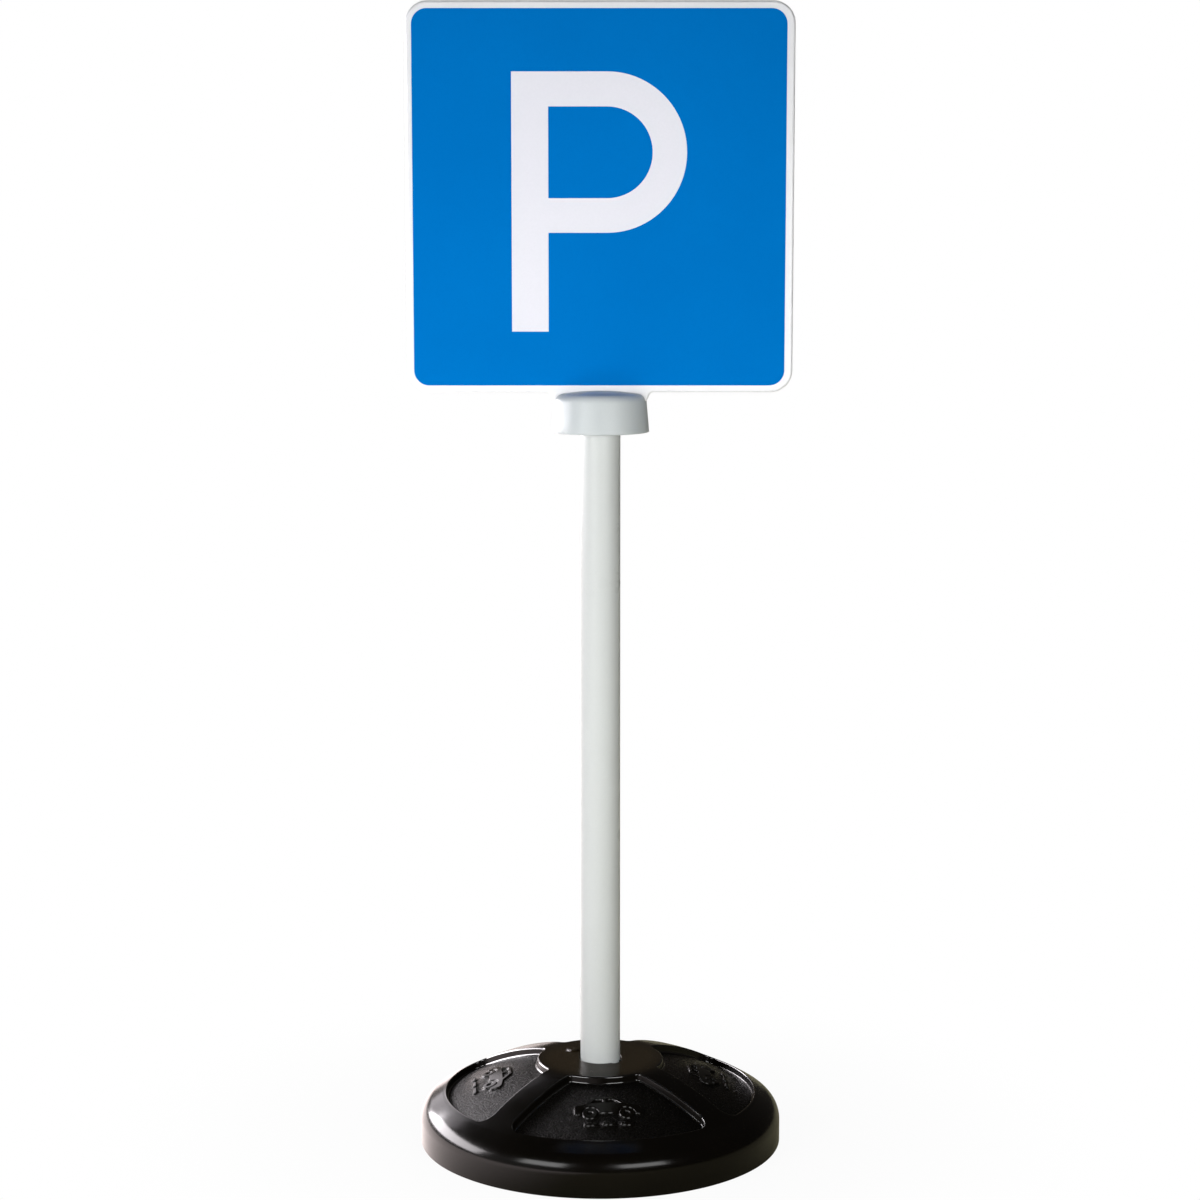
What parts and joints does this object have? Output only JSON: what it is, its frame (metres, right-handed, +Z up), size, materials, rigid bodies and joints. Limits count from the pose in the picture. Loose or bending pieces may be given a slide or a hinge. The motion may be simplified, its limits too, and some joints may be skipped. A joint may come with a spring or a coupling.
{
  "type": "play traffic sign",
  "caption": "Play parking sign: a square sign board on a slim round pole with a domed collar, standing in a round weighted foot with sunk panels.",
  "frame": {"origin": "on the floor, on the pole's axis, under the middle of the round foot", "axes": "+Z up along the pole, -Y out of the sign's front face, +X to the right as the sign is read"},
  "size_m": [0.229, 0.2224, 0.692],
  "materials": {
    "black_gloss": "gloss",
    "black_moulding": "satin",
    "rubber": "matte",
    "screw_steel": "satin",
    "sand": "matte",
    "grey_plastic": "satin",
    "grey_insert": "satin",
    "white_plastic": "satin",
    "blue_print": "satin",
    "white_print": "satin"
  },
  "bodies": {
    "foot": {"foot_cover": "black_gloss", "foot_pan": "black_moulding", "pan_seal": "rubber", "pan_screws": "screw_steel", "sand_ballast": "sand", "grip_pad_1": "rubber", "grip_pad_2": "rubber", "grip_pad_3": "rubber", "grip_pad_4": "rubber"},
    "filler": {"filler_plug": "black_moulding", "filler_seal": "rubber"},
    "pole": {"pole_tube": "grey_plastic", "pole_key": "grey_insert"},
    "peg": {"head_peg": "grey_insert", "swivel_washer": "screw_steel", "swivel_screw": "screw_steel"},
    "head": {"collar": "grey_plastic", "collar_screws": "screw_steel", "sign_front_shell": "white_plastic", "sign_back_shell": "white_plastic", "shell_screws": "screw_steel", "front_film": "blue_print", "back_film": "blue_print", "front_letter": "white_print", "back_letter": "white_print"}
  },
  "joints": [
    {"name": "filler_turn", "type": "hinge", "parent": "foot", "child": "filler", "pos_m": [-0.00419, 0.05985, 0.005], "axis": [0, 0, 1], "range_deg": [0, 90]},
    {"name": "pole_turn", "type": "hinge", "parent": "foot", "child": "pole", "pos_m": [0, 0, 0.018], "axis": [0, 0, 1], "range_deg": [0, 90]},
    {"name": "head_lift", "type": "slide", "parent": "pole", "child": "peg", "axis": [0, 0, 1], "range_m": [0, 0.06]},
    {"name": "sign_swivel", "type": "hinge", "parent": "peg", "child": "head", "pos_m": [0, 0, 0.4475], "axis": [0, 0, 1], "continuous": true}
  ]
}
